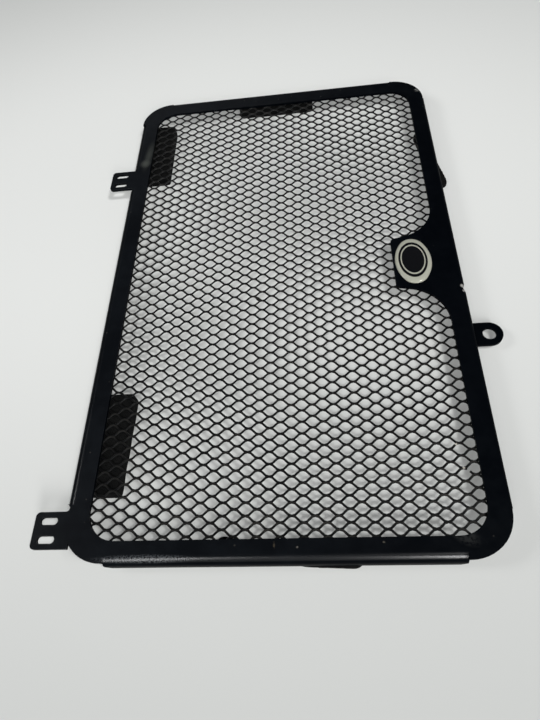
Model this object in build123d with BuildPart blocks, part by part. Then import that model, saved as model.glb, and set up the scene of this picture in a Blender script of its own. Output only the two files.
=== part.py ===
from build123d import *
import os
from math import ceil, cos, hypot, radians, tan
from typing import NamedTuple

# A radiator guard lying face up: +Z points out of its face, X runs across it and Y along it.
# The origin is the middle of its footprint on the bench. All sizes are in millimetres.

# Folded frame
FRAME_WIDTH = 191.0  # over the outer faces of the left and right flanges
FRAME_LENGTH = 309.0  # over the outer faces of the top and bottom flanges
SHEET = 1.5
FLANGE_DEPTH = 7.0  # top of the face to the lower edge of the bottom and left flanges
BEND_RADIUS = 4.0  # outside of their folds
LIP_DEPTH = 3.0  # the same for the narrow lips along the top and right sides
LIP_RADIUS = 2.0  # outside of their folds
FACE_WIDTH = 10.7  # outside of a flange to the window, as a mean of the sides
WINDOW_SHIFT_X = 0.85
WINDOW_SHIFT_Y = -0.85
WINDOW_RADIUS = 13.0
CORNER_RADIUS = 19.0
CORNER_INSET = 0.8  # the flat corners stop this far inside the flanges
FLANGE_SETBACK = 20.5  # a flange's end to the outside of the next side
FLANGE_CHAMFER = 2.5  # cut off the lower corners at a flange's ends
RELIEF_DEPTH = 2.1  # rounded notch between a flange and a tab, from the outside of the flange

# Cable-tie tabs, flat with the face, on the left side
TIE_TAB_WIDTH = 16.0
TIE_TAB_REACH = 13.0  # past the outside of the flange
TIE_TAB_RADIUS = 2.0
UPPER_TAB_SETBACK = 74.7  # outside of the top side to the middle of the tab
LOWER_TAB_SETBACK = 14.8  # outside of the bottom side to the middle of the tab
UPPER_TAB_RELIEF = 1.2  # width of the notches beside the upper tab
LOWER_TAB_RELIEF = 3.2  # width of the notch above the lower tab
TIE_SLOT_LENGTH = 8.0
TIE_SLOT_WIDTH = 3.3
TIE_SLOT_PITCH = 8.0
TIE_SLOT_SETBACK = 6.6  # tip of the tab to the middle of its slots

# Bolt tab, folded out at the lower end of a leg on the right side's lip
BOLT_TAB_SETBACK = 107.0  # outside of the bottom side to the middle of the hole
BOLT_TAB_RADIUS = 6.5
BOLT_HOLE_DIAMETER = 6.5
BOLT_HOLE_OFFSET = 8.2  # outside of the lip to the middle of the hole
BOLT_FOLD_RADIUS = 0.8  # inside of the fold

# Lobe on the right side and the badge on it
LOBE_Y = -3.0  # from the middle of the frame
LOBE_REACH = 24.3  # window edge to the lobe's nose
LOBE_NOSE = 32.4
LOBE_FLARE = 10.0  # degrees that each flank opens towards the side
LOBE_NOSE_RADIUS = 2.5
LOBE_ROOT_RADIUS = 22.0
BADGE_LENGTH = 30.0
BADGE_WIDTH = 19.0
BADGE_END_RADIUS = 7.0
BADGE_HEIGHT = 1.6
BADGE_BEVEL = 1.0
BADGE_MARGIN = 0.9  # lobe's nose to the badge

# Expanded mesh behind the face, at 2.4 times the pitch of the real sheet
MESH_THICKNESS = 1.2
MESH_LAP = 4.5  # past the window, behind the face
MESH_RIM = 1.5
MESH_PITCH_X = 24.0  # long way of the diamonds
MESH_PITCH_Y = 14.4  # short way of the diamonds
MESH_STRAND = 2.2
MESH_TURN = -2.0  # degrees that the sheet lies askew

# Foam pads and strips behind the guard
PAD_LENGTH = 51.0
PAD_WIDTH = 18.0
PAD_RADIUS = 2.0
UPPER_PAD_SHOW = 11.7  # how far the middle of the pad's edge shows past the window's edge
UPPER_PAD_SETBACK = 46.0  # outside of the top side to the middle of the pad
LOWER_PAD_SHOW = 11.0
LOWER_PAD_SETBACK = 56.4  # outside of the bottom side to the middle of the pad
LOWER_PAD_TURN = -1.5  # degrees off the side
STRIP_WIDTH = 7.0
STRIP_THICKNESS = 3.0  # of a strip that lies flat
TOP_STRIP_X = -2.7
TOP_STRIP_GAP = 1.0  # window edge to the strip
RIGHT_STRIP_LENGTH = 49.0
RIGHT_STRIP_INSET = 3.55  # outside of the lip to the middle of the strip
RIGHT_STRIP_SETBACK = 75.6  # outside of the top side to the middle of the strip
RIGHT_STRIP_TURN = 10.7  # degrees off the side
BOTTOM_STRIP_START_X = -24.5
BOTTOM_STRIP_END_X = 31.0
BOTTOM_STRIP_PROUD = 1.0  # past the outside of the bottom flange
BOTTOM_STRIP_RISE = 6.8  # how far its inner end lies above its outer end

# Heights above the bench
FLANGE_BOTTOM = STRIP_THICKNESS
FACE_TOP = FLANGE_BOTTOM + FLANGE_DEPTH
FACE_BOTTOM = FACE_TOP - SHEET
LIP_BOTTOM = FACE_TOP - LIP_DEPTH
MESH_BOTTOM = FACE_BOTTOM - MESH_THICKNESS

# Places that follow from the sizes
HALF_WIDTH = FRAME_WIDTH / 2
HALF_LENGTH = FRAME_LENGTH / 2
WINDOW_WIDTH = FRAME_WIDTH - 2 * FACE_WIDTH
WINDOW_LENGTH = FRAME_LENGTH - 2 * FACE_WIDTH
WINDOW_LEFT = WINDOW_SHIFT_X - WINDOW_WIDTH / 2
WINDOW_RIGHT = WINDOW_SHIFT_X + WINDOW_WIDTH / 2
WINDOW_TOP = WINDOW_SHIFT_Y + WINDOW_LENGTH / 2
UPPER_TAB_Y = HALF_LENGTH - UPPER_TAB_SETBACK
LOWER_TAB_Y = LOWER_TAB_SETBACK - HALF_LENGTH
BOLT_TAB_Y = BOLT_TAB_SETBACK - HALF_LENGTH
BOLT_TAB_REACH = BOLT_HOLE_OFFSET + BOLT_TAB_RADIUS
CENTRE_X = (TIE_TAB_REACH - BOLT_TAB_REACH) / 2
CENTRE_Y = BOTTOM_STRIP_PROUD / 2
BENCH = Plane((CENTRE_X, CENTRE_Y, 0))
UP = Vector(0, 0, 1)
RIGHT = Vector(1, 0, 0)
LEFT = Vector(-1, 0, 0)
FAR = Vector(0, 1, 0)
NEAR = Vector(0, -1, 0)
TOUCH = 0.01  # tolerance for picking edges and corners
FILLET_ROOM = 0.95  # share of the room beside it that a radius may fill


class Flange(NamedTuple):
    """One flange or lip: the way it faces, how far out it lies, the run of its fold, its depth and its bend."""

    outward: Vector
    reach: float
    start: float
    end: float
    depth: float
    bend: float

    def plane(self, along):
        """Section plane at a place along the fold: its X points outward and its Y points up."""
        direction = self.outward.cross(UP)
        return Plane(BENCH.origin + self.outward * self.reach + direction * along, x_dir=self.outward,
                     z_dir=direction)


def flanges():
    """The lips of the top and right sides and the three flanges: the left side has two, parted by the upper tab."""
    across = HALF_WIDTH - FLANGE_SETBACK
    lengthwise = HALF_LENGTH - FLANGE_SETBACK
    lower_start = LOWER_TAB_Y + TIE_TAB_WIDTH / 2 + LOWER_TAB_RELIEF
    lower_end = UPPER_TAB_Y - TIE_TAB_WIDTH / 2 - UPPER_TAB_RELIEF
    upper_start = UPPER_TAB_Y + TIE_TAB_WIDTH / 2 + UPPER_TAB_RELIEF
    return [
        Flange(FAR, HALF_LENGTH, -across, across, LIP_DEPTH, LIP_RADIUS),
        Flange(NEAR, HALF_LENGTH, -across, across, FLANGE_DEPTH, BEND_RADIUS),
        Flange(RIGHT, HALF_WIDTH, -lengthwise, lengthwise, LIP_DEPTH, LIP_RADIUS),
        Flange(LEFT, HALF_WIDTH, upper_start, lengthwise, FLANGE_DEPTH, BEND_RADIUS),
        Flange(LEFT, HALF_WIDTH, lower_start, lower_end, FLANGE_DEPTH, BEND_RADIUS),
    ]


# Window outline, with the lobe left standing on its right edge
turn = radians(90 - LOBE_FLARE)
flank = LOBE_REACH / cos(radians(LOBE_FLARE))
lobe_root = LOBE_NOSE / 2 + LOBE_REACH * tan(radians(LOBE_FLARE))
root_room = (flank - LOBE_NOSE_RADIUS * tan(turn / 2)) / tan(turn / 2)
with BuildSketch(BENCH.offset(FACE_BOTTOM)) as window:
    with Locations((WINDOW_SHIFT_X, WINDOW_SHIFT_Y)):
        RectangleRounded(WINDOW_WIDTH, WINDOW_LENGTH, WINDOW_RADIUS)
    with Locations((WINDOW_RIGHT, LOBE_Y)):
        Polygon((0, lobe_root), (-LOBE_REACH, LOBE_NOSE / 2), (-LOBE_REACH, -LOBE_NOSE / 2), (0, -lobe_root),
                align=None, mode=Mode.SUBTRACT)
    lobe_points = vertices().filter_by_position(Axis.Y, LOBE_Y - lobe_root - TOUCH, LOBE_Y + lobe_root + TOUCH)
    fillet(lobe_points.group_by(Axis.X)[0], radius=LOBE_NOSE_RADIUS)
    lobe_points = vertices().filter_by_position(Axis.Y, LOBE_Y - lobe_root - TOUCH, LOBE_Y + lobe_root + TOUCH)
    fillet(lobe_points.group_by(Axis.X)[-1], radius=min(LOBE_ROOT_RADIUS, FILLET_ROOM * root_room))

# Flat face with its tabs; each tab has a pair of slots and a relief notch towards each flange beside it
tab_tip = -HALF_WIDTH - TIE_TAB_REACH
notch_end = RELIEF_DEPTH - HALF_WIDTH
with BuildSketch(BENCH.offset(FACE_BOTTOM)) as face:
    with Locations((tab_tip, LOWER_TAB_Y), (tab_tip, UPPER_TAB_Y)):
        Rectangle(TIE_TAB_REACH + BEND_RADIUS, TIE_TAB_WIDTH, align=(Align.MIN, Align.CENTER))
    fillet(vertices().group_by(Axis.X)[0], radius=TIE_TAB_RADIUS)
    with Locations((tab_tip + TIE_SLOT_SETBACK, LOWER_TAB_Y), (tab_tip + TIE_SLOT_SETBACK, UPPER_TAB_Y)):
        with GridLocations(0, TIE_SLOT_PITCH, 1, 2):
            SlotOverall(TIE_SLOT_LENGTH, TIE_SLOT_WIDTH, mode=Mode.SUBTRACT)
    RectangleRounded(FRAME_WIDTH - 2 * CORNER_INSET, FRAME_LENGTH - 2 * CORNER_INSET, CORNER_RADIUS)
    add(window.sketch_local, mode=Mode.SUBTRACT)
    for edge_y, notch in ((LOWER_TAB_Y + TIE_TAB_WIDTH / 2, LOWER_TAB_RELIEF),
                          (UPPER_TAB_Y - TIE_TAB_WIDTH / 2, -UPPER_TAB_RELIEF),
                          (UPPER_TAB_Y + TIE_TAB_WIDTH / 2, UPPER_TAB_RELIEF)):
        with Locations((notch_end - TIE_TAB_REACH / 2, edge_y + notch / 2)):
            SlotOverall(TIE_TAB_REACH, abs(notch), mode=Mode.SUBTRACT)

# Frame: the face cut back along each fold, then the flanges and the bolt tab
with BuildPart() as frame:
    extrude(face.sketch, amount=SHEET)
    for flange in flanges():
        with BuildSketch(flange.plane(flange.start)):
            with Locations((-flange.bend, FACE_BOTTOM)):
                Rectangle(flange.bend, SHEET, align=Align.MIN)
        extrude(amount=flange.end - flange.start, mode=Mode.SUBTRACT)

    for flange in flanges():
        bend_start = FACE_TOP - flange.bend
        lower_edge = FACE_TOP - flange.depth
        with BuildSketch(flange.plane(flange.start)):
            with BuildLine():
                TangentArc((-flange.bend, FACE_TOP), (0, bend_start), tangent=(1, 0))
                Polyline((0, bend_start), (0, lower_edge), (-SHEET, lower_edge), (-SHEET, bend_start))
                TangentArc((-SHEET, bend_start), (-flange.bend, FACE_BOTTOM), tangent=(0, 1))
                Line((-flange.bend, FACE_BOTTOM), (-flange.bend, FACE_TOP))
            make_face()
        extrude(amount=flange.end - flange.start)
    for lower_edge, leg in ((FLANGE_BOTTOM, FLANGE_DEPTH - BEND_RADIUS), (LIP_BOTTOM, LIP_DEPTH - LIP_RADIUS)):
        ends = edges().filter_by_position(Axis.Z, lower_edge - TOUCH, lower_edge + TOUCH)
        ends = ends.filter_by(lambda edge: abs(edge.length - SHEET) < TOUCH)
        chamfer(ends, length=min(FLANGE_CHAMFER, FILLET_ROOM * leg))

    right_lip = flanges()[2]
    fold_outside = BOLT_FOLD_RADIUS + SHEET
    with BuildSketch(right_lip.plane(-BOLT_TAB_Y - BOLT_TAB_RADIUS)):
        with BuildLine():
            TangentArc((-SHEET, FLANGE_BOTTOM + fold_outside), (BOLT_FOLD_RADIUS, FLANGE_BOTTOM), tangent=(0, -1))
            Line((BOLT_FOLD_RADIUS, FLANGE_BOTTOM), (BOLT_FOLD_RADIUS, FLANGE_BOTTOM + SHEET))
            TangentArc((BOLT_FOLD_RADIUS, FLANGE_BOTTOM + SHEET), (0, FLANGE_BOTTOM + fold_outside), tangent=(-1, 0))
            Polyline((0, FLANGE_BOTTOM + fold_outside), (0, LIP_BOTTOM), (-SHEET, LIP_BOTTOM),
                     (-SHEET, FLANGE_BOTTOM + fold_outside))
        make_face()
    extrude(amount=2 * BOLT_TAB_RADIUS)
    with BuildSketch(BENCH.offset(FLANGE_BOTTOM)):
        with Locations((HALF_WIDTH + BOLT_FOLD_RADIUS, BOLT_TAB_Y)):
            Rectangle(BOLT_HOLE_OFFSET - BOLT_FOLD_RADIUS, 2 * BOLT_TAB_RADIUS, align=(Align.MIN, Align.CENTER))
        with Locations((HALF_WIDTH + BOLT_HOLE_OFFSET, BOLT_TAB_Y)):
            Circle(BOLT_TAB_RADIUS)
            Circle(BOLT_HOLE_DIAMETER / 2, mode=Mode.SUBTRACT)
    extrude(amount=SHEET)
frame.part.label = "frame"

# Expanded mesh: a sheet pierced by two sets of diamonds, each in the gaps of the other
mesh_width = WINDOW_WIDTH + 2 * MESH_LAP
mesh_length = WINDOW_LENGTH + 2 * MESH_LAP
mesh_radius = WINDOW_RADIUS + MESH_LAP
half_long = MESH_PITCH_X / 2
half_short = MESH_PITCH_Y / 2
open_share = 1 - MESH_STRAND / 2 * hypot(half_long, half_short) / (half_long * half_short)
lean = abs(tan(radians(MESH_TURN)))
columns = ceil((mesh_width + mesh_length * lean) / MESH_PITCH_X) + 1
rows = ceil((mesh_length + mesh_width * lean) / MESH_PITCH_Y) + 1
with BuildSketch(BENCH.offset(MESH_BOTTOM)) as openings:
    with Locations(Location((WINDOW_SHIFT_X, WINDOW_SHIFT_Y), MESH_TURN)):
        for trim in (0, 1):
            with GridLocations(MESH_PITCH_X, MESH_PITCH_Y, columns - trim, rows - trim):
                Polygon((half_long * open_share, 0), (0, half_short * open_share),
                        (-half_long * open_share, 0), (0, -half_short * open_share))
    with Locations((WINDOW_SHIFT_X, WINDOW_SHIFT_Y)):
        RectangleRounded(mesh_width - 2 * MESH_RIM, mesh_length - 2 * MESH_RIM, mesh_radius - MESH_RIM,
                         mode=Mode.INTERSECT)
with BuildPart() as mesh:
    with BuildSketch(BENCH.offset(MESH_BOTTOM)):
        with Locations((WINDOW_SHIFT_X, WINDOW_SHIFT_Y)):
            RectangleRounded(mesh_width, mesh_length, mesh_radius)
        add(openings.sketch_local, mode=Mode.SUBTRACT)
    extrude(amount=MESH_THICKNESS, clean=False)
mesh.part.label = "mesh"

# Badge: an oval plate on the lobe, with a bevelled edge; its sides are arcs that run into the rounded ends
badge_x = WINDOW_RIGHT - LOBE_REACH + BADGE_MARGIN + BADGE_WIDTH / 2
side_reach = (BADGE_LENGTH**2 + BADGE_WIDTH**2) / 4 - BADGE_LENGTH * BADGE_END_RADIUS
badge_side_radius = side_reach / (BADGE_WIDTH - 2 * BADGE_END_RADIUS)
side_offset = badge_side_radius - BADGE_WIDTH / 2
with BuildPart() as badge:
    with BuildSketch(BENCH.offset(FACE_TOP)):
        with Locations((badge_x - side_offset, LOBE_Y)):
            Circle(badge_side_radius)
        with Locations((badge_x + side_offset, LOBE_Y)):
            Circle(badge_side_radius, mode=Mode.INTERSECT)
        fillet(vertices(), radius=BADGE_END_RADIUS)
    extrude(amount=BADGE_HEIGHT)
    chamfer(faces().sort_by(Axis.Z)[-1].edges(), length=min(BADGE_BEVEL, FILLET_ROOM * BADGE_HEIGHT))
badge.part.label = "badge"


def foam_pad(show, middle_y, turn=0):
    """A foam pad behind the mesh, along the window's left edge."""
    with BuildPart() as pad:
        with BuildSketch(BENCH):
            with Locations((WINDOW_LEFT + show - PAD_WIDTH / 2, middle_y)):
                RectangleRounded(PAD_WIDTH, PAD_LENGTH, PAD_RADIUS, rotation=turn)
        extrude(amount=MESH_BOTTOM)
    return pad


left_upper_pad = foam_pad(UPPER_PAD_SHOW, HALF_LENGTH - UPPER_PAD_SETBACK)
left_upper_pad.part.label = "left_upper_pad"
left_lower_pad = foam_pad(LOWER_PAD_SHOW, LOWER_PAD_SETBACK - HALF_LENGTH, LOWER_PAD_TURN)
left_lower_pad.part.label = "left_lower_pad"

# Foam strip upright behind the top side
with BuildPart() as top_strip:
    with BuildSketch(BENCH):
        with Locations((TOP_STRIP_X, WINDOW_TOP + TOP_STRIP_GAP + STRIP_WIDTH / 2)):
            RectangleRounded(PAD_LENGTH, STRIP_WIDTH, PAD_RADIUS)
    extrude(amount=MESH_BOTTOM)
top_strip.part.label = "top_strip"

# Foam strip that hangs askew on the lower edge of the right side's lip
with BuildPart() as right_strip:
    with BuildSketch(BENCH.offset(LIP_BOTTOM)):
        with Locations((HALF_WIDTH - RIGHT_STRIP_INSET, HALF_LENGTH - RIGHT_STRIP_SETBACK)):
            SlotOverall(RIGHT_STRIP_LENGTH, STRIP_WIDTH, rotation=90 + RIGHT_STRIP_TURN)
    extrude(amount=-STRIP_THICKNESS)
right_strip.part.label = "right_strip"

# Foam strip that has slipped and bowed under the bottom flange
bottom_strip_y = STRIP_WIDTH / 2 - BOTTOM_STRIP_PROUD - HALF_LENGTH
with BuildPart() as bottom_strip:
    with BuildSketch(BENCH):
        with BuildLine(mode=Mode.PRIVATE) as bow:
            TangentArc((BOTTOM_STRIP_END_X, bottom_strip_y),
                       (BOTTOM_STRIP_START_X, bottom_strip_y + BOTTOM_STRIP_RISE), tangent=(-1, 0))
        SlotArc(bow.edge(), STRIP_WIDTH)
    extrude(amount=STRIP_THICKNESS)
bottom_strip.part.label = "bottom_strip"

os.makedirs("parts", exist_ok=True)
for piece in (frame, mesh, badge, left_upper_pad, left_lower_pad, top_strip, right_strip, bottom_strip):
    export_step(piece.part, f"parts/{piece.part.label}.step")
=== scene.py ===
"""Looks of a motorcycle radiator guard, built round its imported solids.

The guard lies face up on a pale bench. Its frame, mesh, badge and foam are plain meshes in the part's own
frame, in metres, and each stands for the solid of its kind.
"""

import logging
import math
from dataclasses import dataclass
from enum import Enum
from typing import Any, Mapping, Optional, Sequence, Union

import bmesh
import bpy
from mathutils import Matrix, Vector, noise


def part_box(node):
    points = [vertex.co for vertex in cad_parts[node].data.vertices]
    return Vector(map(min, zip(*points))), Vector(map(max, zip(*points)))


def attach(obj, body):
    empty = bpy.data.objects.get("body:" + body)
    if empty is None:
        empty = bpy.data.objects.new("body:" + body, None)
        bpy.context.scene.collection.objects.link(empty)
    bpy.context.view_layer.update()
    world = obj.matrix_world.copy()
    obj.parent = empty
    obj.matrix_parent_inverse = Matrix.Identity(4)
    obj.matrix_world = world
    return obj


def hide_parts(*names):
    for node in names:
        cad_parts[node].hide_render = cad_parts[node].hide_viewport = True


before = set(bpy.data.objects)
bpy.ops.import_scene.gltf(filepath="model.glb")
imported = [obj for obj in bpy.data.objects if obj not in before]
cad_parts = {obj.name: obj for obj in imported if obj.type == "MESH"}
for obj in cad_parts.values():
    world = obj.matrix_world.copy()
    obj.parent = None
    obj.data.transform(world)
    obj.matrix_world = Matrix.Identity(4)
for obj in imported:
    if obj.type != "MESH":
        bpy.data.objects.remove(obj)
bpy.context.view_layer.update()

LOG = logging.getLogger("radiator_guard")
MM = 0.001
BODY = "root"
SENSOR = 36.0
WORN = "worn"
JOIN = 0.001 * MM
TOUCH = 0.01 * MM
CLOUDY = {"detail": 4.0, "roughness": 0.6}
MEAN = 0.5
FIRM, SLACK = 0.8, 0.5

Colour = tuple[float, float, float, float]
Point = tuple[float, float, float]
Step = tuple[float, float]
Value = Union["Term", float, Point, Colour]


class Slot(Enum):
    """The part's material slots."""

    FRAME_PAINT = "frame_paint"
    MESH_COAT = "mesh_coat"
    BADGE_FACE = "badge_face"
    FOAM = "foam"


class Term:
    """An output socket that Python's operators work on."""

    def __init__(self, graph: "Graph", socket: bpy.types.NodeSocket) -> None:
        """Wraps one socket.

        Args:
            graph: the graph that gets the nodes of an expression.
            socket: the output socket that holds the value.
        """
        self.graph = graph
        self.socket = socket

    def _math(self, operation: str, first: Value, second: Value) -> "Term":
        """Adds one Math node.

        Args:
            operation: the node's operation.
            first: the first operand.
            second: the second operand.

        Returns:
            The node's result.
        """
        return self.graph.node("ShaderNodeMath", {"operation": operation}, {0: first, 1: second})

    def __add__(self, other: Value) -> "Term":
        """Sum."""
        return self._math("ADD", self, other)

    def __radd__(self, other: Value) -> "Term":
        """Sum, reflected."""
        return self._math("ADD", other, self)

    def __sub__(self, other: Value) -> "Term":
        """Difference."""
        return self._math("SUBTRACT", self, other)

    def __rsub__(self, other: Value) -> "Term":
        """Difference, reflected."""
        return self._math("SUBTRACT", other, self)

    def __mul__(self, other: Value) -> "Term":
        """Product."""
        return self._math("MULTIPLY", self, other)

    def __rmul__(self, other: Value) -> "Term":
        """Product, reflected."""
        return self._math("MULTIPLY", other, self)

    def __truediv__(self, other: Value) -> "Term":
        """Quotient."""
        return self._math("DIVIDE", self, other)

    def __rtruediv__(self, other: Value) -> "Term":
        """Quotient, reflected."""
        return self._math("DIVIDE", other, self)

    def __gt__(self, other: Value) -> "Term":
        """One where this is the greater, and nought elsewhere."""
        return self._math("GREATER_THAN", self, other)

    def __lt__(self, other: Value) -> "Term":
        """One where this is the less, and nought elsewhere."""
        return self._math("LESS_THAN", self, other)

    def largest(self, other: Value) -> "Term":
        """The greater of the two."""
        return self._math("MAXIMUM", self, other)

    def size(self) -> "Term":
        """The value without its sign."""
        return self._math("ABSOLUTE", self, 0.0)

    def cosine(self) -> "Term":
        """Cosine of an angle in radians."""
        return self._math("COSINE", self, 0.0)

    def sine(self) -> "Term":
        """Sine of an angle in radians."""
        return self._math("SINE", self, 0.0)


class Graph:
    """Adds nodes to one tree."""

    def __init__(self, tree: bpy.types.NodeTree) -> None:
        """Takes the tree that the nodes go into."""
        self.tree = tree

    def node(self, kind: str, settings: Optional[Mapping[str, Any]] = None,
             inputs: Optional[Mapping[Union[str, int], Any]] = None, output: Union[str, int] = 0) -> Term:
        """Adds a node of any kind.

        Args:
            kind: the node's type.
            settings: its properties, set first; "stops" gives a ramp's stops as pairs of place and colour.
            inputs: values or links of its sockets, by name or index.
            output: the socket that is wanted.

        Returns:
            That output, as a term.
        """
        made = self.tree.nodes.new(kind)
        for name, value in (settings or {}).items():
            if name == "stops":
                self._set_stops(made.color_ramp, value)
            else:
                setattr(made, name, value)
        for key, value in (inputs or {}).items():
            if isinstance(value, Term):
                self.tree.links.new(value.socket, made.inputs[key])
            else:
                made.inputs[key].default_value = value
        return Term(self, made.outputs[output] if made.outputs else None)

    @staticmethod
    def _set_stops(ramp: bpy.types.ColorRamp, stops: Sequence[tuple[float, Colour]]) -> None:
        """Gives a ramp its stops.

        Args:
            ramp: the ramp.
            stops: pairs of place and colour, in order.
        """
        while len(ramp.elements) < len(stops):
            ramp.elements.new(1.0)
        for element, (place, colour) in zip(ramp.elements, stops):
            element.position = place
            element.color = colour

    def parts(self, vector: Term) -> tuple[Term, Term, Term]:
        """Splits a vector.

        Args:
            vector: the vector.

        Returns:
            Its X, Y and Z.
        """
        first = self.node("ShaderNodeSeparateXYZ", None, {0: vector})
        sockets = first.socket.node.outputs
        return Term(self, sockets[0]), Term(self, sockets[1]), Term(self, sockets[2])

    def vector(self, x: Value, y: Value, z: Value) -> Term:
        """Joins three numbers to a vector."""
        return self.node("ShaderNodeCombineXYZ", None, {0: x, 1: y, 2: z})


class Shader(Graph):
    """Builds one material."""

    def __init__(self, name: str) -> None:
        """Starts an empty material.

        Args:
            name: the material's name.
        """
        self.material = bpy.data.materials.new(name)
        self.material.use_nodes = True
        self.material.node_tree.nodes.clear()
        super().__init__(self.material.node_tree)

    def millimetres(self) -> Term:
        """The place on the piece, in millimetres of the part's frame."""
        place = self.node("ShaderNodeTexCoord", None, None, "Object")
        return self.node("ShaderNodeVectorMath", {"operation": "SCALE"}, {0: place, 3: 1 / MM})

    def grain(self, place: Term, scale: float, detail: float = 2.0, roughness: float = 0.5) -> Term:
        """Cloudy noise.

        Args:
            place: the coordinates.
            scale: how many clouds there are to a millimetre.
            detail: how many finer layers it has.
            roughness: how strong those are.

        Returns:
            A number of about a half, from nought to one.
        """
        return self.node("ShaderNodeTexNoise", None,
                         {"Vector": place, "Scale": scale, "Detail": detail, "Roughness": roughness})

    def cells(self, place: Term, scale: float) -> Term:
        """Distance to the middle of the nearest of many scattered cells.

        Args:
            place: the coordinates.
            scale: how many cells there are to a millimetre.

        Returns:
            The distance, in cells.
        """
        return self.node("ShaderNodeTexVoronoi", None, {"Vector": place, "Scale": scale}, "Distance")

    def rise(self, value: Value, low: float, high: float) -> Term:
        """A soft step.

        Args:
            value: what is looked at.
            low: where the step starts.
            high: where it ends; below low, the step falls.

        Returns:
            Nought to one.
        """
        falls = high < low
        step = self.node("ShaderNodeMapRange", {"interpolation_type": "SMOOTHSTEP"},
                         {0: value, 1: min(low, high), 2: max(low, high)})
        return 1.0 - step if falls else step

    def radius(self, place: Term, centre: Point, reach: Point, turn: float = 0.0) -> Term:
        """How far out a place lies in an oval.

        Args:
            place: the coordinates.
            centre: the oval's middle, in millimetres.
            reach: its half lengths, in millimetres.
            turn: its turn about Z, in degrees.

        Returns:
            Nought at the middle and one on the oval.
        """
        local = self.node("ShaderNodeMapping", {"vector_type": "TEXTURE"},
                          {"Vector": place, "Location": centre, "Rotation": (0.0, 0.0, math.radians(turn)),
                           "Scale": reach})
        return self.node("ShaderNodeVectorMath", {"operation": "LENGTH"}, {0: local}, "Value")

    def seen(self) -> Term:
        """Tells rays that show the surface from rays that only carry its light.

        Returns:
            One for rays of the camera, of reflections and of refractions, and nought for the rest.
        """
        rays = self.node("ShaderNodeLightPath").socket.node.outputs
        camera, glossy, through = (Term(self, rays[f"Is {kind} Ray"])
                                   for kind in ("Camera", "Glossy", "Transmission"))
        return camera.largest(glossy).largest(through)

    def mix(self, share: Value, first: Value, second: Value) -> Term:
        """Mixes two colours.

        Args:
            share: how much of the second shows.
            first: the first colour.
            second: the second colour.

        Returns:
            The mixed colour.
        """
        return self.node("ShaderNodeMix", {"data_type": "RGBA"}, {0: share, 6: first, 7: second}, 2)

    def bump(self, height: Term, depth: float) -> Term:
        """Small relief.

        Args:
            height: the relief, from nought to one.
            depth: its depth in millimetres.

        Returns:
            The normal.
        """
        return self.node("ShaderNodeBump", None,
                         {"Strength": 1.0, "Distance": depth * MM, "Height": height})

    def close(self, **sockets: Any) -> bpy.types.Material:
        """Adds the surface shader and the output.

        Args:
            sockets: the shader's values and links, with _ for a space in a name.

        Returns:
            The finished material.
        """
        surface = self.node("ShaderNodeBsdfPrincipled", None,
                            {name.replace("_", " "): value for name, value in sockets.items()})
        self.node("ShaderNodeOutputMaterial", None, {"Surface": surface})
        return self.material


@dataclass(frozen=True)
class Mark:
    """A worn, scuffed or dusty place on the paint, or a painted sheen or highlight, in millimetres of the
    part's frame.
    """

    centre: Point
    reach: Point
    colour: Colour
    cover: float
    grain: float
    turn: float = 0.0
    fill: float = 0.0
    core: float = 0.35
    start: float = 0.4
    span: float = 0.2

    def mask(self, shader: Shader, place: Term) -> Term:
        """How much of the paint it hides.

        Args:
            shader: the paint's shader.
            place: the coordinates, in millimetres.

        Returns:
            Nought to the mark's cover.
        """
        inside = shader.rise(shader.radius(place, self.centre, self.reach, self.turn), 1.0, self.core)
        start = self.start * (1.0 - self.fill)
        broken = shader.rise(shader.grain(place, self.grain, **CLOUDY), start, start + self.span)
        return inside * broken * self.cover


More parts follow.
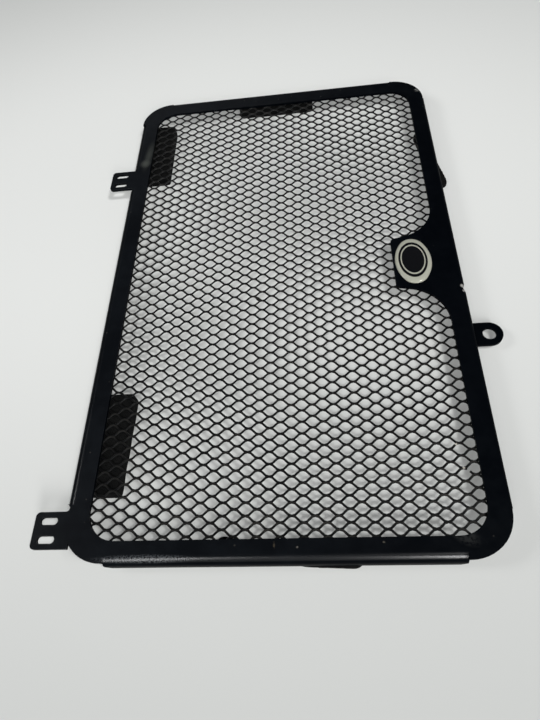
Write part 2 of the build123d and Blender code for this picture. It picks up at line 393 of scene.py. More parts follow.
@dataclass(frozen=True)
class SatinPaint:
    """Satin black powder coat of the folded frame, with the marks of its use, painted sheen and a painted
    highlight, and its lighter tone painted darker on the right side as shade.

    Places are in millimetres of the part's frame, and a step gives where a change starts and ends.
    """

    name: str = "satin_black_paint"
    deep: Colour = (0.0008, 0.0014, 0.0024, 1.0)
    # Lighter paint tone: the paint's own random fade, and also painted reflection on the left side.
    faded_and_lit: Colour = (0.0022, 0.0032, 0.0046, 1.0)
    bare: Colour = (0.13, 0.13, 0.125, 1.0)
    dust: Colour = (0.05, 0.047, 0.040, 1.0)
    roughness: float = 0.45
    rough_cloud: float = 0.3
    rough_peel: float = 0.08
    gloss_roughness: float = 0.25
    base_shine: float = 0.02
    cloud_scale: float = 0.028
    mottle_scale: float = 0.17
    mottle_share: float = 0.45
    peel_scale: float = 1.1
    peel_detail: float = 3.0
    peel_depth: float = 0.012
    fade: Step = (0.42, 0.62)
    # Share of the lighter tone kept on the right side, which is painted darker as shade.
    fade_share_in_right_shade: float = 0.3
    polish_right: float = 0.04
    polish_left: float = 0.9
    polish_mottle: float = 0.8
    speck_scale: float = 0.13
    speck: Step = (0.075, 0.03)
    speck_cover: float = 0.4
    chip_scale: float = 0.07
    chip_detail: float = 5.0
    chip_roughness: float = 0.65
    chip: Step = (0.50, 0.62)
    chip_cover: float = 0.4
    face: Step = (9.8, 9.97)
    # Step across the frame from right to left: the colour is painted lighter on the left as reflection,
    # and the coat is glossier there.
    bright_side: Step = (100.0, -60.0)
    fold: Step = (8.5, 9.2)
    bottom_side: Step = (-150.2, -151.2)
    fold_end: Step = (74.6, 71.6)
    marks: tuple[Mark, ...] = (
        Mark((91.2, 142.3, 9.5), (2.6, 2.0, 3.0), (0.20, 0.20, 0.19, 1.0), 0.9, 0.8),
        Mark((93.0, -20.9, 9.6), (1.2, 1.5, 1.5), (0.34, 0.33, 0.31, 1.0), 0.9, 0.9, 8.0, 0.7),
        Mark((93.4, -24.0, 9.5), (1.0, 1.1, 1.5), (0.26, 0.25, 0.24, 1.0), 0.9, 0.9, 8.0, 0.5),
        Mark((73.4, -143.6, 10.0), (8.0, 4.6, 3.0), (0.021, 0.022, 0.022, 1.0), 0.7, 0.6, -35.0, 0.1),
        Mark((6.7, -147.7, 10.0), (0.7, 0.6, 1.0), (0.16, 0.15, 0.13, 1.0), 0.8, 0.5),
        Mark((41.7, -146.2, 10.0), (0.7, 0.6, 1.0), (0.08, 0.075, 0.06, 1.0), 0.8, 0.5),
        Mark((-2.8, -147.0, 10.0), (0.6, 2.2, 1.0), (0.055, 0.045, 0.03, 1.0), 0.7, 0.8),
        # Painted sheen on the left side, standing in for a reflection: a long faint streak and a brighter
        # core.
        Mark((-87.3, 102.0, 10.0), (3.8, 18.0, 3.0), (0.050, 0.054, 0.048, 1.0), 0.6, 0.2, -5.0, 1.0, 0.0),
        Mark((-88.8, 94.6, 10.0), (4.6, 5.0, 3.0), (0.070, 0.075, 0.066, 1.0), 0.7, 0.2, 0.0, 1.0, 0.0),
        # Worn band on the left of the bottom fold, lightened also as a painted highlight.
        Mark((-58.0, -151.6, 9.7), (27.0, 2.2, 3.0), (0.075, 0.080, 0.085, 1.0), 0.8, 1.3),
    )

    def material(self) -> bpy.types.Material:
        """Builds the paint.

        Returns:
            The finished material.
        """
        shader = Shader(self.name)
        place = shader.millimetres()
        across, along, height = shader.parts(place)
        cloud = shader.grain(place, self.cloud_scale, **CLOUDY)
        peel = shader.grain(place, self.peel_scale, self.peel_detail)
        fine = shader.grain(place, self.mottle_scale, **CLOUDY)
        mottle = cloud * (1.0 - self.mottle_share) + fine * self.mottle_share
        left = shader.rise(across, *self.bright_side)
        # The lighter tone follows a random mottle. It is painted stronger on the left as reflection and
        # weaker on the right as shade.
        fade_and_side_shade = shader.rise(mottle, *self.fade) * (self.fade_share_in_right_shade + (1.0 - self.fade_share_in_right_shade) * left)
        colour = shader.mix(fade_and_side_shade, self.deep, self.faded_and_lit)
        specks = shader.rise(shader.cells(place, self.speck_scale), *self.speck)
        colour = shader.mix(specks * self.speck_cover, colour, self.dust)
        for mark in self.marks:
            colour = shader.mix(mark.mask(shader, place), colour, mark.colour)
        edge = shader.node("ShaderNodeAttribute", {"attribute_name": WORN}, None, "Fac")
        flakes = shader.grain(place, self.chip_scale, self.chip_detail, self.chip_roughness)
        chipped = edge * shader.rise(flakes, *self.chip)
        colour = shader.mix(chipped * self.chip_cover, colour, self.bare)
        rough = self.roughness + (cloud - MEAN) * self.rough_cloud + (peel - MEAN) * self.rough_peel
        polish = self.polish_right + self.polish_left * left + (mottle - MEAN) * self.polish_mottle
        rubbed = shader.rise(height, *self.fold) * shader.rise(along, *self.bottom_side)
        rubbed = rubbed * shader.rise(across, *self.fold_end)
        gloss = (shader.rise(height, *self.face) * polish).largest(rubbed)
        return shader.close(Base_Color=colour, Roughness=rough, Normal=shader.bump(peel, self.peel_depth),
                            Specular_IOR_Level=self.base_shine, Coat_Weight=gloss,
                            Coat_Roughness=self.gloss_roughness)


@dataclass(frozen=True)
class MeshCoat:
    """Satin black coat of the expanded mesh, dusty and with a painted highlight on top of its strands,
    with two bare chips.
    """

    name: str = "black_mesh_coat"
    coat: Colour = (0.0030, 0.0033, 0.0034, 1.0)
    # Colour of the strand tops: dust, and a painted highlight where light catches them.
    dusty_sheen: Colour = (0.070, 0.066, 0.058, 1.0)
    bare: Colour = (0.45, 0.43, 0.38, 1.0)
    roughness: float = 0.42
    rough_fine: float = 0.2
    shine: float = 0.18
    relief: float = 0.03
    cloud_scale: float = 0.05
    fine_scale: float = 2.0
    top: Step = (8.34, 8.48)
    # Cloud step for the lighter strand tops, which are dust and painted highlight.
    dust: Step = (0.35, 0.65)
    dust_and_sheen_cover: float = 0.3
    chips: tuple[Point, ...] = ((78.2, -115.9, 8.2), (76.7, -105.2, 8.2))
    chip_reach: Point = (0.8, 0.7, 1.2)
    chip_edge: Step = (1.0, 0.5)
    chip_grain: Step = (0.35, 0.5)

    def material(self) -> bpy.types.Material:
        """Builds the coat.

        Returns:
            The finished material.
        """
        shader = Shader(self.name)
        place = shader.millimetres()
        height = shader.parts(place)[2]
        cloud = shader.grain(place, self.cloud_scale, **CLOUDY)
        fine = shader.grain(place, self.fine_scale)
        # The strand tops are lighter: partly dust, and partly a painted highlight where light catches
        # them.
        dust_and_sheen = shader.rise(height, *self.top) * shader.rise(cloud, *self.dust)
        colour = shader.mix(dust_and_sheen * self.dust_and_sheen_cover, self.coat, self.dusty_sheen)
        for chip in self.chips:
            gone = shader.rise(shader.radius(place, chip, self.chip_reach), *self.chip_edge)
            colour = shader.mix(gone * shader.rise(fine, *self.chip_grain), colour, self.bare)
        rough = self.roughness + (fine - MEAN) * self.rough_fine
        return shader.close(Base_Color=colour, Roughness=rough, Normal=shader.bump(fine, self.relief),
                            Specular_IOR_Level=self.shine)


@dataclass(frozen=True)
class ClosedCellFoam:
    """Matte black closed-cell foam with its cut pores."""

    name: str = "black_foam"
    skin: Colour = (0.0026, 0.0028, 0.0028, 1.0)
    worn: Colour = (0.0062, 0.0063, 0.0060, 1.0)
    roughness: float = 0.92
    shine: float = 0.1
    pore_scale: float = 1.5
    pore: Step = (0.1, 0.55)
    pore_depth: float = 0.12
    cloud_scale: float = 0.12
    wear: Step = (0.35, 0.7)

    def material(self) -> bpy.types.Material:
        """Builds the foam.

        Returns:
            The finished material.
        """
        shader = Shader(self.name)
        place = shader.millimetres()
        pores = shader.rise(shader.cells(place, self.pore_scale), *self.pore)
        cloud = shader.grain(place, self.cloud_scale, **CLOUDY)
        colour = shader.mix(shader.rise(cloud, *self.wear) * pores, self.skin, self.worn)
        return shader.close(Base_Color=colour, Roughness=self.roughness,
                            Normal=shader.bump(pores, self.pore_depth), Specular_IOR_Level=self.shine)


@dataclass(frozen=True)
class BadgePrint:
    """Silver-grey print with a plain black oval and a thin ring, under clear resin."""

    name: str = "badge_resin"
    silver: Colour = (0.40, 0.40, 0.33, 1.0)
    flake: Colour = (0.30, 0.30, 0.25, 1.0)
    black: Colour = (0.003, 0.003, 0.0035, 1.0)
    centre: Point = (70.65, -2.5, 10.0)
    reach: Point = (9.5, 15.0, 1000.0)
    field: float = 0.79
    ring: Step = (0.61, 0.67)
    soft: float = 0.012
    flake_scale: float = 3.0
    flake_edge: Step = (0.3, 0.7)
    flake_cover: float = 0.25
    roughness: float = 0.35
    shine: float = 0.1
    resin: float = 1.0
    resin_roughness: float = 0.06

    def material(self) -> bpy.types.Material:
        """Builds the print and its resin.

        Returns:
            The finished material.
        """
        shader = Shader(self.name)
        place = shader.millimetres()
        out = shader.radius(place, self.centre, self.reach)
        inner, outer = self.ring
        field = shader.rise(out, self.field + self.soft, self.field - self.soft)
        ring = shader.rise(out, inner - self.soft, inner + self.soft)
        ring = ring * shader.rise(out, outer + self.soft, outer - self.soft)
        flakes = shader.rise(shader.grain(place, self.flake_scale), *self.flake_edge)
        silver = shader.mix(flakes * self.flake_cover, self.silver, self.flake)
        colour = shader.mix(field * (1.0 - ring), silver, self.black)
        return shader.close(Base_Color=colour, Roughness=self.roughness, Specular_IOR_Level=self.shine,
                            Coat_Weight=self.resin, Coat_Roughness=self.resin_roughness)


@dataclass(frozen=True)
class BenchTop:
    """Plain pale bench top, with painted shade: a little darker away from the guard, as the light falls
    off.
    """

    name: str = "pale_bench"
    pale: Colour = (0.775, 0.785, 0.765, 1.0)
    painted_shade: Colour = (0.55, 0.56, 0.545, 1.0)
    centre: Point = (-80.0, 85.0, 0.0)
    reach: Point = (560.0, 380.0, 1000.0)
    painted_falloff: Step = (0.2, 1.0)
    glow: float = 0.22

    def material(self) -> bpy.types.Material:
        """Builds the bench top.

        Returns:
            The finished material.
        """
        shader = Shader(self.name)
        out = shader.radius(shader.millimetres(), self.centre, self.reach)
        # Painted shade: the colour darkens outwards from a bright middle, standing in for the fall of the
        # lamps' light.
        colour = shader.mix(shader.rise(out, *self.painted_falloff), self.pale, self.painted_shade)
        matte = shader.node("ShaderNodeBsdfDiffuse", None, {"Color": colour})
        light = shader.node("ShaderNodeEmission", None, {"Color": colour, "Strength": 1.0})
        share = shader.seen() * self.glow
        surface = shader.node("ShaderNodeMixShader", None, {0: share, 1: matte, 2: light})
        shader.node("ShaderNodeOutputMaterial", None, {"Surface": surface})
        return shader.material


def link(name: str, mesh: bpy.types.Mesh) -> bpy.types.Object:
    """Puts a mesh into the scene.

    Args:
        name: the new object's name.
        mesh: its mesh, with its place in it.

    Returns:
        The object, at the origin.
    """
    made = bpy.data.objects.new(name, mesh)
    bpy.context.scene.collection.objects.link(made)
    return made


def plain(piece: bpy.types.Object) -> bpy.types.Object:
    """Turns a piece's modifiers into its mesh.

    Args:
        piece: the piece.

    Returns:
        The same piece, with a plain mesh and no modifiers.
    """
    graph = bpy.context.evaluated_depsgraph_get()
    mesh = bpy.data.meshes.new_from_object(piece.evaluated_get(graph), preserve_all_data_layers=True,
                                           depsgraph=graph)
    piece.modifiers.clear()
    piece.data = mesh
    mesh.name = piece.name
    return piece


def merged_copy(node: str) -> bmesh.types.BMesh:
    """Copies a solid's mesh with its corners joined.

    Args:
        node: the solid's name.

    Returns:
        The copy.
    """
    work = bmesh.new()
    work.from_mesh(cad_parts[node].data)
    bmesh.ops.remove_doubles(work, verts=work.verts, dist=JOIN)
    return work


def stand_for(piece: bpy.types.Object, node: str) -> None:
    """Declares a finished piece.

    Args:
        piece: the piece.
        node: the solid that it stands for.
    """
    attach(piece, BODY)
    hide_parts(node)
    triangles = sum(len(face.vertices) - 2 for face in piece.data.polygons)
    LOG.info("%s stands for %s, %d triangles", piece.name, node, triangles)


@dataclass
class FoldedFrame:
    """The folded sheet frame, with its sheared edges broken and a nick in its right side.

    Sizes are in millimetres and angles in degrees.
    """

    name: str = "folded_frame"
    node: str = "frame"
    edge_break: float = 0.22
    flat_angle: float = 0.6
    sharp_angle: float = 30.0
    nick_y: float = -21.7
    nick_half: float = 2.7
    nick_depth: float = 0.8
    nick_from: float = 2.2
    nick_margin: float = 0.5
    finish: SatinPaint = SatinPaint()

    def _nick(self, work: bmesh.types.BMesh) -> None:
        """Presses a shallow nick into the edge of the right side.

        Args:
            work: the frame's mesh.
        """
        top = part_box(self.node)[1].z
        edge = max(vertex.co.x for vertex in work.verts if abs(vertex.co.z - top) < MM)
        inner = edge - self.nick_from * MM
        limit = inner - self.nick_margin * MM
        for y in (self.nick_y - self.nick_half, self.nick_y, self.nick_y + self.nick_half):
            faces = [face for face in work.faces
                     if min(vertex.co.x for vertex in face.verts) > limit
                     and min(vertex.co.y for vertex in face.verts) < y * MM
                     and max(vertex.co.y for vertex in face.verts) > y * MM]
            parts = {part for face in faces for part in (face, *face.edges, *face.verts)}
            bmesh.ops.bisect_plane(work, geom=list(parts), plane_co=(0, y * MM, 0), plane_no=(0, 1, 0))
        for vertex in work.verts:
            if abs(vertex.co.y - self.nick_y * MM) < TOUCH and vertex.co.x > inner:
                vertex.co.x -= self.nick_depth * MM * (vertex.co.x - inner) / (edge - inner)

    def build(self) -> bpy.types.Object:
        """Builds the frame.

        Returns:
            The dressed piece.
        """
        work = merged_copy(self.node)
        bmesh.ops.dissolve_limit(work, angle_limit=math.radians(self.flat_angle), verts=work.verts,
                                 edges=work.edges, use_dissolve_boundaries=False)
        self._nick(work)
        worn = work.loops.layers.float.new(WORN)
        sharp = [edge for edge in work.edges
                 if len(edge.link_faces) == 2 and edge.calc_face_angle() > math.radians(self.sharp_angle)]
        broken = bmesh.ops.bevel(work, geom=sharp, offset=self.edge_break * MM, offset_type="OFFSET",
                                 segments=1, profile=0.5, affect="EDGES", clamp_overlap=True)
        for face in broken["faces"]:
            for loop in face.loops:
                loop[worn] = 1.0
        mesh = bpy.data.meshes.new(self.name)
        work.to_mesh(mesh)
        work.free()
        mesh.shade_smooth()
        mesh.set_sharp_from_angle(angle=math.radians(self.sharp_angle))
        piece = link(self.name, mesh)
        weighted = piece.modifiers.new("weighted", "WEIGHTED_NORMAL")
        weighted.keep_sharp = True
        plain(piece)
        piece.data.materials.clear()
        piece.data.materials.append(self.finish.material())
        stand_for(piece, self.node)
        return piece


@dataclass
class ExpandedMesh:
    """The expanded mesh: rows of waved strands that meet their neighbours at the bonds.

    Sizes are in millimetres and angles in degrees. The sheet is a little stretched, so its rows slope and
    fan out and its columns lean. One strand is broken and another is clotted with coat.
    """

    name: str = "expanded_mesh"
    node: str = "mesh"
    pitch_long: float = 9.98
    pitch_short: float = 5.96
    strand: float = 1.1
    thickness: float = 0.8
    wave: float = 1.42
    bond: float = 0.20
    ripple: float = 0.10
    row_slope: float = -0.0381
    column_lean: float = 0.0038
    row_growth: float = 0.000162
    row_fan: float = -0.000173
    column_growth: float = -0.000211
    opening_x: float = 0.12
    opening_y: float = -0.45
    corner_radius: float = 17.5
    samples: int = 8
    section_sides: int = 6
    spare_width: float = 1.1
    spare_length: float = 1.08
    crease_angle: float = 50.0
    broken_x: float = 79.4
    broken_y: float = -117.1
    broken_reach: float = 0.75
    clot_x: float = -11.3
    clot_y: float = -19.6
    clot_reach: float = 1.3
    clot_growth: float = 0.9
    finish: MeshCoat = MeshCoat()

    def inputs(self) -> dict[str, Any]:
        """The tree's named inputs.

        Returns:
            Each input's value, in metres, by its name.
        """
        low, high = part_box(self.node)
        width, length = high.x - low.x, high.y - low.y
        periods = math.ceil(self.spare_width * width / (self.pitch_long * MM)) + 2
        rows = math.ceil(self.spare_length * length / (self.pitch_short / 2 * MM)) + 2
        return {
            "Pitch Long": self.pitch_long * MM,
            "Pitch Short": self.pitch_short * MM,
            "Strand": self.strand * MM,
            "Thickness": self.thickness * MM,
            "Wave": self.wave * MM,
            "Bond": self.bond * MM,
            "Ripple": self.ripple * MM,
            "Row Slope": self.row_slope,
            "Column Lean": self.column_lean,
            "Row Growth": self.row_growth / MM,
            "Row Fan": self.row_fan / MM,
            "Column Growth": self.column_growth / MM,
            "Opening X": self.opening_x * MM,
            "Opening Y": self.opening_y * MM,
            "Centre X": (low.x + high.x) / 2,
            "Centre Y": (low.y + high.y) / 2,
            "Centre Z": high.z - (self.thickness / 2 + self.ripple) * MM,
            "Half Width": width / 2 - self.strand * MM,
            "Half Length": length / 2 - self.strand * MM,
            "Corner Radius": self.corner_radius * MM,
            "Section Sides": self.section_sides,
            "Samples": self.samples,
            "Columns": periods // 2 * 2 * self.samples + 1,
            "Rows": rows // 2 * 2 + 1,
            "Broken X": self.broken_x * MM,
            "Broken Y": self.broken_y * MM,
            "Broken Reach": self.broken_reach * MM,
            "Clot X": self.clot_x * MM,
            "Clot Y": self.clot_y * MM,
            "Clot Reach": self.clot_reach * MM,
            "Clot Growth": self.clot_growth,
            "Coat": self.finish.material(),
        }

    def tree(self, values: Mapping[str, Any]) -> bpy.types.GeometryNodeTree:
        """Builds the Geometry Nodes tree.

        Args:
            values: the named inputs, which give the sockets' types.

        Returns:
            The tree.
        """
        tree = bpy.data.node_groups.new(self.name, "GeometryNodeTree")
        kinds = {float: "NodeSocketFloat", int: "NodeSocketInt", bpy.types.Material: "NodeSocketMaterial"}
        for name, value in values.items():
            tree.interface.new_socket(name, in_out="INPUT", socket_type=kinds[type(value)])
        tree.interface.new_socket("Mesh", in_out="OUTPUT", socket_type="NodeSocketGeometry")
        graph = Graph(tree)
        source = graph.node("NodeGroupInput").socket.node
        given = {name: Term(graph, source.outputs[name]) for name in values}
        strands = self._strands(graph, given)
        strands = self._trim(graph, given, strands)
        curve = graph.node("GeometryNodeMeshToCurve", None, {"Mesh": strands})
        curve = graph.node("GeometryNodeSetCurveNormal", {"mode": "Z_UP"}, {"Curve": curve})
        ring = graph.node("GeometryNodeCurvePrimitiveCircle", {"mode": "RADIUS"},
                          {"Resolution": given["Section Sides"], "Radius": 1.0})
        flat = given["Thickness"] / math.sqrt(3.0)  # a ring of six sides is the root of three thick
        section = graph.node("GeometryNodeTransform", None,
                             {"Geometry": ring, "Scale": graph.vector(given["Strand"] / 2.0, flat, 1.0)})
        x, y, _ = graph.parts(graph.node("GeometryNodeInputPosition"))
        near = self._away(graph, x - given["Clot X"], y - given["Clot Y"]) < given["Clot Reach"]
        solid = graph.node("GeometryNodeCurveToMesh", None,
                           {"Curve": curve, "Profile Curve": section, "Fill Caps": True,
                            "Scale": 1.0 + given["Clot Growth"] * near})
        solid = graph.node("GeometryNodeRealizeInstances", None, {"Geometry": solid})
        solid = graph.node("GeometryNodeSetMaterial", None, {"Geometry": solid, "Material": given["Coat"]})
        graph.node("NodeGroupOutput", None, {"Mesh": solid})
        return tree

    @staticmethod
    def _strands(graph: Graph, given: Mapping[str, Term]) -> Term:
        """Rows of waved lines.

        Args:
            graph: the tree's graph.
            given: the tree's inputs.

        Returns:
            The lines, in place.
        """
        step = given["Pitch Short"] / 2.0
        span = (given["Columns"] - 1.0) * given["Pitch Long"] / given["Samples"]
        rise = (given["Rows"] - 1.0) * step
        lines = graph.node("GeometryNodeMeshGrid", None,
                           {"Size X": span, "Size Y": rise, "Vertices X": given["Columns"],
                            "Vertices Y": given["Rows"]})
        edge = graph.node("GeometryNodeInputMeshEdgeVertices", None, None, "Position 1").socket.node
        first = graph.parts(Term(graph, edge.outputs["Position 1"]))[1]
        second = graph.parts(Term(graph, edge.outputs["Position 2"]))[1]
        across = (first - second).size() > step / 2.0
        lines = graph.node("GeometryNodeDeleteGeometry", {"domain": "EDGE", "mode": "EDGE_FACE"},
                           {"Geometry": lines, "Selection": across})
        along, row, _ = graph.parts(graph.node("GeometryNodeInputPosition"))
        side = (row / step * math.pi).cosine()
        angle = along / given["Pitch Long"] * (2.0 * math.pi)
        swing = side * angle.cosine()
        x = along + given["Bond"] * (angle * 2.0).sine()
        y = row + step / 2.0 + given["Wave"] * swing
        place_x = given["Opening X"] + x + given["Column Lean"] * y + given["Column Growth"] * x * x
        growth = given["Row Growth"] * y + given["Row Fan"] * x
        place_y = given["Opening Y"] + y + given["Row Slope"] * x + growth * y
        place = graph.vector(place_x, place_y, given["Centre Z"] + given["Ripple"] * swing)
        return graph.node("GeometryNodeSetPosition", None, {"Geometry": lines, "Position": place})

    @staticmethod
    def _away(graph: Graph, x: Term, y: Term) -> Term:
        """Length of a step across the sheet."""
        step = graph.vector(x, y, 0.0)
        return graph.node("ShaderNodeVectorMath", {"operation": "LENGTH"}, {0: step}, "Value")

    @staticmethod
    def _trim(graph: Graph, given: Mapping[str, Term], lines: Term) -> Term:
        """Cuts the rows to the sheet's outline, and takes out the broken strand.

        Args:
            graph: the tree's graph.
            given: the tree's inputs.
            lines: the rows.

        Returns:
            The rows that are left.
        """
        x, y, _ = graph.parts(graph.node("GeometryNodeInputPosition"))
        radius = given["Corner Radius"]
        over_x = ((x - given["Centre X"]).size() - (given["Half Width"] - radius)).largest(0.0)
        over_y = ((y - given["Centre Y"]).size() - (given["Half Length"] - radius)).largest(0.0)
        corner = ExpandedMesh._away(graph, over_x, over_y)
        lines = graph.node("GeometryNodeDeleteGeometry", {"domain": "POINT", "mode": "ALL"},
                           {"Geometry": lines, "Selection": corner > radius})
        gap = ExpandedMesh._away(graph, x - given["Broken X"], y - given["Broken Y"])
        return graph.node("GeometryNodeDeleteGeometry", {"domain": "EDGE", "mode": "EDGE_FACE"},
                          {"Geometry": lines, "Selection": gap < given["Broken Reach"]})

    def build(self) -> bpy.types.Object:
        """Builds the mesh.

        Returns:
            The dressed piece.
        """
        values = self.inputs()
        tree = self.tree(values)
        piece = link(self.name, bpy.data.meshes.new(self.name))
        modifier = piece.modifiers.new("strands", "NODES")
        modifier.node_group = tree
        for item in tree.interface.items_tree:
            if item.in_out == "INPUT":
                modifier[item.identifier] = values[item.name]
        plain(piece)
        piece.data.shade_smooth()
        piece.data.set_sharp_from_angle(angle=math.radians(self.crease_angle))
        stand_for(piece, self.node)
        return piece


@dataclass
class FoamBlock:
    """One foam pad or strip: a cut block, softened at its edges and a little uneven. In millimetres."""

    name: str
    node: str
    fill: float
    voxel: float = 0.5
    softening: int = 6
    soften_share: float = 0.5
    unevenness: float = 0.25
    waves: float = 0.14
    wave_fall: float = 0.6
    wave_step: float = 2.0
    wave_layers: int = 3

    def build(self, material: bpy.types.Material) -> bpy.types.Object:
        """Builds the block.

        Args:
            material: the foam.

        Returns:
            The dressed piece.
        """
        work = merged_copy(self.node)
        mesh = bpy.data.meshes.new(self.name)
        work.to_mesh(mesh)
        work.free()
        piece = link(self.name, mesh)
        remesh = piece.modifiers.new("cut", "REMESH")
        remesh.mode = "VOXEL"
        remesh.voxel_size = self.voxel * MM
        smooth = piece.modifiers.new("soften", "SMOOTH")
        smooth.factor = self.soften_share
        smooth.iterations = self.softening
        plain(piece)
        self._shape(piece.data)
        piece.data.shade_smooth()
        piece.data.materials.clear()
        piece.data.materials.append(material)
        stand_for(piece, self.node)
        return piece

    def _shape(self, mesh: bpy.types.Mesh) -> None:
        """Presses shallow dents into the block, which leave it inside its solid.

        Args:
            mesh: the block's mesh.
        """
        low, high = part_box(self.node)
        normals = [vertex.normal.copy() for vertex in mesh.vertices]
        for vertex, normal in zip(mesh.vertices, normals):
            place = vertex.co / MM * self.waves
            dent = 0.5 + 0.5 * noise.fractal(place, self.wave_fall, self.wave_step, self.wave_layers)
            moved = vertex.co - normal * (min(max(dent, 0.0), 1.0) * self.unevenness * MM)
            vertex.co = [min(max(moved[i], low[i]), high[i]) for i in range(3)]


@dataclass
class BadgeDome:
    """The oval badge: clear resin that stands up from a thin edge. In millimetres and degrees."""

    name: str = "badge_dome"
    node: str = "badge"
    length: float = 30.0
    width: float = 19.0
    end_radius: float = 7.0
    edge: float = 0.55
    wall_share: float = 0.6
    rim: float = 0.985
    crown_power: float = 2.4
    ring_spacing: float = 1.5
    segments: int = 96
    rings: int = 14
    crease_angle: float = 60.0
    finish: BadgePrint = BadgePrint()

    def reach(self, angle: float) -> float:
        """How far the oval reaches from its middle.

        Args:
            angle: the direction, in radians from +X.

        Returns:
            The distance in millimetres.
        """
        half_long, half_wide, small = self.length / 2, self.width / 2, self.end_radius
        side = (half_long**2 + half_wide**2 - 2 * half_long * small) / (2 * (half_wide - small))
        along, across = abs(math.sin(angle)), abs(math.cos(angle))
        offset, lift = side - half_wide, half_long - small
        far = -across * offset + math.sqrt((across * offset) ** 2 + side**2 - offset**2)
        split = math.atan2(lift, offset)
        if far * along > side * math.sin(split):
            far = along * lift + math.sqrt((along * lift) ** 2 + small**2 - lift**2)
        return far

    def build(self) -> bpy.types.Object:
        """Builds the badge.

        Returns:
            The dressed piece.
        """
        low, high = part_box(self.node)
        middle = (low + high) / 2
        rise = (high.z - low.z) / MM
        work = bmesh.new()
        profile = [(1.0, 0.0), (1.0, self.edge * self.wall_share), (self.rim, self.edge)]
        for ring in range(1, self.rings):
            share = self.rim * (1.0 - (ring / self.rings) ** self.ring_spacing)
            lift = math.sqrt(1.0 - (share / self.rim) ** self.crown_power)
            profile.append((share, self.edge + (rise - self.edge) * lift))
        loops = []
        for share, height in profile:
            loop = []
            for step in range(self.segments):
                angle = 2 * math.pi * step / self.segments
                far = self.reach(angle) * share * MM
                x, y = middle.x + far * math.cos(angle), middle.y + far * math.sin(angle)
                loop.append(work.verts.new((x, y, low.z + height * MM)))
            loops.append(loop)
        for lower, upper in zip(loops, loops[1:]):
            for step in range(self.segments):
                after = (step + 1) % self.segments
                work.faces.new((lower[step], lower[after], upper[after], upper[step]))
        crown = work.verts.new((middle.x, middle.y, high.z))
        for step in range(self.segments):
            work.faces.new((loops[-1][step], loops[-1][(step + 1) % self.segments], crown))
        work.faces.new(list(reversed(loops[0])))
        mesh = bpy.data.meshes.new(self.name)
        work.to_mesh(mesh)
        work.free()
        mesh.shade_smooth()
        mesh.set_sharp_from_angle(angle=math.radians(self.crease_angle))
        piece = link(self.name, mesh)
        piece.data.materials.append(self.finish.material())
        stand_for(piece, self.node)
        return piece


@dataclass(frozen=True)
class SoftLight:
    """One soft lamp that points at the guard, in metres and watts."""

    name: str
    place: Point
    width: float
    height: float
    power: float

    def build(self) -> bpy.types.Object:
        """Builds the lamp.

        Returns:
            The lamp.
        """
        data = bpy.data.lights.new(self.name, "AREA")
        data.shape = "ELLIPSE"
        data.size = self.width
        data.size_y = self.height
        data.energy = self.power
        lamp = bpy.data.objects.new(self.name, data)
        lamp.location = self.place
        lamp.rotation_euler = (-Vector(self.place)).to_track_quat("-Z", "Y").to_euler()
        bpy.context.scene.collection.objects.link(lamp)
        return lamp


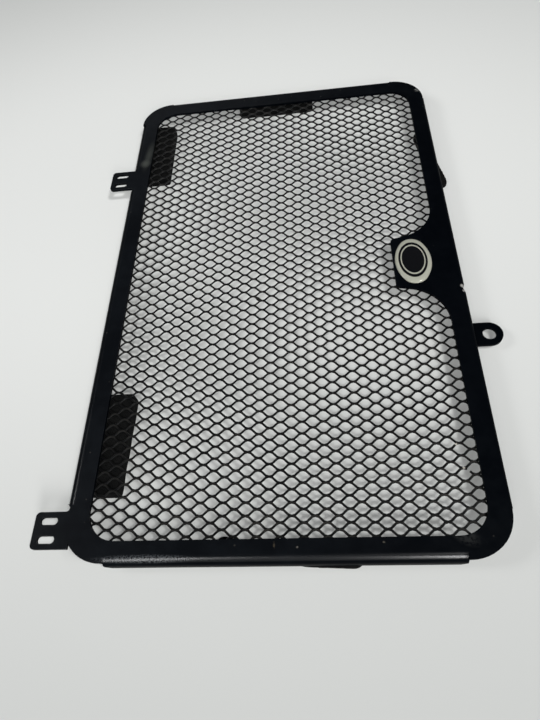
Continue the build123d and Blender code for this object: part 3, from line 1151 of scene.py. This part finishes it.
@dataclass
class Studio:
    """The bench, the lamps, the surroundings and the camera, in metres; the lens is in millimetres."""

    bench_half: float = 3.0
    nearest: float = 0.01
    lens: float = 26.581
    eye: Point = (0.022916, -0.190215, 0.235499)
    right: Point = (0.99289, 0.00893, -0.11867)
    down: Point = (-0.05173, -0.86575, -0.49779)
    forward: Point = (-0.10717, 0.50040, -0.85913)
    lamps: tuple[SoftLight, ...] = (
        SoftLight("key", (1.44, -0.75, 2.70), 0.48, 0.48, 51.0),
        SoftLight("front_right", (0.93, -2.60, 1.75), 0.30, 1.60, 48.0),
        SoftLight("front_left", (-1.10, -2.20, 2.10), 0.36, 2.00, 20.0),
        SoftLight("left", (-2.70, 0.20, 1.90), 1.00, 1.00, 27.0),
    )
    horizon: Colour = (0.35, 0.355, 0.355, 1.0)
    zenith: Colour = (0.042, 0.047, 0.056, 1.0)
    horizon_height: float = 0.15
    zenith_height: float = 0.6

    def build(self) -> None:
        """Builds the surroundings, the lamps, the bench and the camera."""
        bpy.context.scene.view_settings.view_transform = "Standard"
        self._surroundings()
        for lamp in self.lamps:
            lamp.build()
        self._bench()
        self._camera()

    def _surroundings(self) -> None:
        """A pale horizon under a dim ceiling."""
        world = bpy.data.worlds.new("studio")
        world.use_nodes = True
        world.node_tree.nodes.clear()
        graph = Graph(world.node_tree)
        way = graph.node("ShaderNodeTexCoord", None, None, "Generated")
        height = graph.parts(way)[2]
        stops = ((self.horizon_height, self.horizon), (self.zenith_height, self.zenith))
        colour = graph.node("ShaderNodeValToRGB", {"stops": stops}, {"Fac": height})
        light = graph.node("ShaderNodeBackground", None, {"Color": colour, "Strength": 1.0})
        graph.node("ShaderNodeOutputWorld", None, {"Surface": light})
        bpy.context.scene.world = world

    def _bench(self) -> None:
        """The bench top that the guard lies on."""
        far = self.bench_half
        mesh = bpy.data.meshes.new("bench")
        corners = [(-far, -far, 0), (far, -far, 0), (far, far, 0), (-far, far, 0)]
        mesh.from_pydata(corners, [], [(0, 1, 2, 3)])
        mesh.materials.append(BenchTop().material())
        link("bench", mesh)

    def _camera(self) -> None:
        """The camera, where the photograph was taken from."""
        data = bpy.data.cameras.new("camera")
        data.lens = self.lens
        data.sensor_width = SENSOR
        data.clip_start = self.nearest
        camera = bpy.data.objects.new("camera", data)
        axes = (Vector(self.right), -Vector(self.down), -Vector(self.forward))
        turn = Matrix(axes).transposed().to_4x4()
        camera.matrix_world = Matrix.Translation(self.eye) @ turn
        bpy.context.scene.collection.objects.link(camera)
        bpy.context.scene.camera = camera


def main() -> None:
    """Builds the guard and its studio."""
    logging.basicConfig(level=logging.INFO, format="%(name)s: %(message)s")
    FoldedFrame().build()
    ExpandedMesh().build()
    BadgeDome().build()
    foam = ClosedCellFoam().material()
    FoamBlock("upper_foam", "left_upper_pad", FIRM).build(foam)
    FoamBlock("lower_foam", "left_lower_pad", FIRM).build(foam)
    FoamBlock("top_foam", "top_strip", FIRM).build(foam)
    FoamBlock("right_foam", "right_strip", SLACK).build(foam)
    FoamBlock("bottom_foam", "bottom_strip", SLACK).build(foam)
    Studio().build()


if __name__ == "__main__":
    main()
